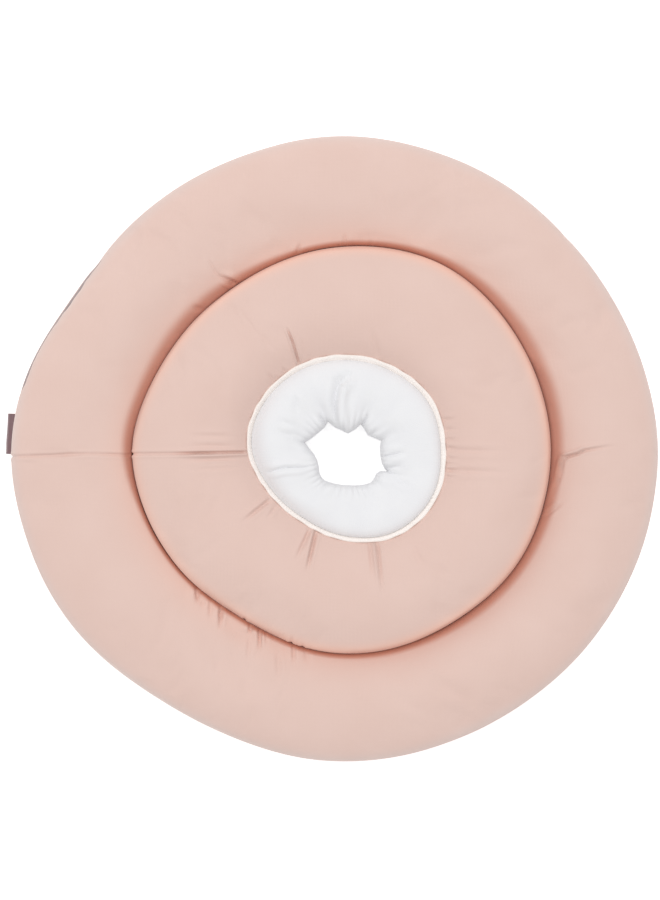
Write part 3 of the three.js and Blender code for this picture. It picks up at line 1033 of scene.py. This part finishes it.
def woven(name, colour, deeper, thread, relief, nap, roughness):
    material, shader = new_material(name)
    cloth = add(material, "UVMap", uv_map="cloth").outputs["UV"]
    warp, weft = [stripes(material, cloth, thread, way, 0.6, 0.4) for way in "XY"]
    threads = add(material, "Math", {0: warp, 1: weft}, operation="MULTIPLY").outputs[0]
    slubs = add(material, "TexNoise", {"Vector": cloth, "Scale": 0.5, "Detail": 3})
    height = added_up(material, slubs.outputs["Fac"], 0.5, threads)
    normals = raised(material, height, relief)
    dye = add(material, "TexNoise", {"Vector": cloth, "Scale": 0.035, "Detail": 2})
    shade = added_up(material, threads, 0.35, dye.outputs["Fac"])
    whole = mixed(material, shade, linear(deeper), linear(colour))
    # painted shade and painted light, from the stored amounts
    for name, tint in painted_tints:
        amount = add(material, "Attribute", attribute_name=name).outputs["Fac"]
        whole = mixed(material, amount, whole, linear(tint))
    link(material, whole, shader.inputs["Base Color"])
    link(material, normals, shader.inputs["Normal"])
    shader.inputs["Roughness"].default_value = roughness
    shader.inputs["Specular IOR Level"].default_value = 0.2
    shader.inputs["Sheen Weight"].default_value = nap
    shader.inputs["Sheen Roughness"].default_value = 0.5
    return material


cover_cloth = woven("brushed cotton, dusty pink", "#E2C6BC", "#DDBFB4", thread, 0.00005, 0.15, 0.9)

# %% White jersey
# A fine knit: its ribs run from the neck to the hem. They are 0.5 mm apart on the real cloth and
# drawn 1 mm apart. It is softer and a little shinier than the cover.
rib = 1.0


def knitted(name, colour, deeper, rib, relief):
    material, shader = new_material(name)
    cloth = add(material, "UVMap", uv_map="cloth").outputs["UV"]
    ribs = stripes(material, cloth, rib, "X", 0.4, 0.5)
    loops = stripes(material, cloth, 0.7 * rib, "Y", 0.8, 0.5)
    normals = raised(material, added_up(material, loops, 0.4, ribs), relief)
    patches = add(material, "TexNoise", {"Vector": cloth, "Scale": 0.08, "Detail": 2})
    whole = mixed(material, patches.outputs["Fac"], linear(deeper), linear(colour))
    link(material, whole, shader.inputs["Base Color"])
    link(material, normals, shader.inputs["Normal"])
    shader.inputs["Roughness"].default_value = 0.85
    shader.inputs["Specular IOR Level"].default_value = 0.25
    shader.inputs["Sheen Weight"].default_value = 0.1
    return material


cuff_cloth = knitted("cotton jersey, white", "#ECECED", "#E6E6E9", rib, 0.00004)
binding_cloth = knitted("ribbed knit tape, off-white", "#FDF7F3", "#FAF2EC", 0.8, 0.00004)

# %% Woven tape for the label
# A dense satin ribbon: smooth, with a soft gloss and fine ribs across it, 0.3 mm apart on the real
# tape and drawn 0.6 mm apart.
label_cloth, shader = new_material("satin ribbon, mauve brown")
tape = add(label_cloth, "UVMap", uv_map="cloth").outputs["UV"]
tape_ribs = stripes(label_cloth, tape, 0.6, "Y", 0.2)
tape_normals = raised(label_cloth, tape_ribs, 0.00003)
wear = add(label_cloth, "TexNoise", {"Vector": tape, "Scale": 0.25, "Detail": 3})
tape_colour = mixed(label_cloth, wear.outputs["Fac"], linear("#6F5558"), linear("#866A6E"))
link(label_cloth, tape_colour, shader.inputs["Base Color"])
link(label_cloth, tape_normals, shader.inputs["Normal"])
shader.inputs["Roughness"].default_value = 0.5
shader.inputs["Sheen Weight"].default_value = 0.1

# %% Sewing thread
# Spun polyester in the cover's pink, with a twist that shows as slanting bands.
thread_cloth, shader = new_material("spun polyester thread, pink")
place = add(thread_cloth, "TexCoord").outputs["Object"]
twist = stripes(thread_cloth, place, 0.0006, "DIAGONAL", 0.3)
twist_colour = mixed(thread_cloth, twist, linear("#B98472"), linear("#CC9C8B"))
link(thread_cloth, twist_colour, shader.inputs["Base Color"])
shader.inputs["Roughness"].default_value = 0.6

# %% Dressing the pieces
dress = [
    (outer, cover_cloth),
    (inner, cover_cloth),
    (web, cover_cloth),
    (binding, binding_cloth),
    (cuff, cuff_cloth),
    (label, label_cloth),
    (channel_thread, thread_cloth),
    (under_thread, thread_cloth),
]
for piece, cloth in dress:
    piece.data.materials.clear()
    piece.data.materials.append(cloth)
bpy.data.objects.remove(stitch)
print("dressed", len(dress), "pieces")

# %% [markdown]
# ## The table and the light
#
# The photograph is a catalogue picture: white all round, with a broad soft light from its top.
# The table glows a little, so that it stays white even inside the hole, and a large lamp beyond
# the cone's top edge shades the rings gently towards the bottom.

# %% The table
bpy.ops.object.select_all(action="DESELECT")
bpy.ops.mesh.primitive_plane_add(size=6)
table = bpy.context.object
table.name = "table"
table_top, shader = new_material("white table top")
shader.inputs["Base Color"].default_value = linear("#F4F4F4")
shader.inputs["Roughness"].default_value = 0.9
shader.inputs["Specular IOR Level"].default_value = 0.1
shader.inputs["Emission Color"].default_value = (1, 1, 1, 1)
shader.inputs["Emission Strength"].default_value = 0.45
table.data.materials.append(table_top)

# %% The light
world = bpy.data.worlds.new("studio")
scene.world = world
world.use_nodes = True
background = world.node_tree.nodes["Background"]
background.inputs["Color"].default_value = (1, 1, 1, 1)
background.inputs["Strength"].default_value = 0.64
bpy.ops.object.light_add(type="AREA", location=(-0.15, 0.5, 2.0))
lamp = bpy.context.object
lamp.data.size = 1.8
lamp.data.energy = 22.5
lamp.rotation_euler = (-lamp.location).to_track_quat("-Z", "Y").to_euler()
scene.view_settings.view_transform = "Standard"
print("light:", lamp.data.energy, "W")

# %% [markdown]
# ## What each piece stands for
#
# Every piece moves with the cone's one body and hides the solid that it stands for. The rings are
# padded pieces. The cuff is a gathered sheet, cut as a tapered strip.

# %% Riding and replacing
for piece, cloth in dress:
    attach(piece, "root")
for piece, node, slot in [
    (outer, "outer_ring", "cover_cloth"),
    (inner, "inner_ring", "cover_cloth"),
    (web, "channel_seam", "cover_cloth"),
    (binding, "neck_binding", "neck_cloth"),
    (cuff, "neck_cuff", "neck_cloth"),
    (label, "label_tab", "label_cloth"),
]:
    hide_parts(node)
table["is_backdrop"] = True

# %% The sizes, for comparing
visual_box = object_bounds()
for low, high, axis in zip(*visual_box, "XYZ"):
    print(axis, round(low / mm, 1), "to", round(high / mm, 1))
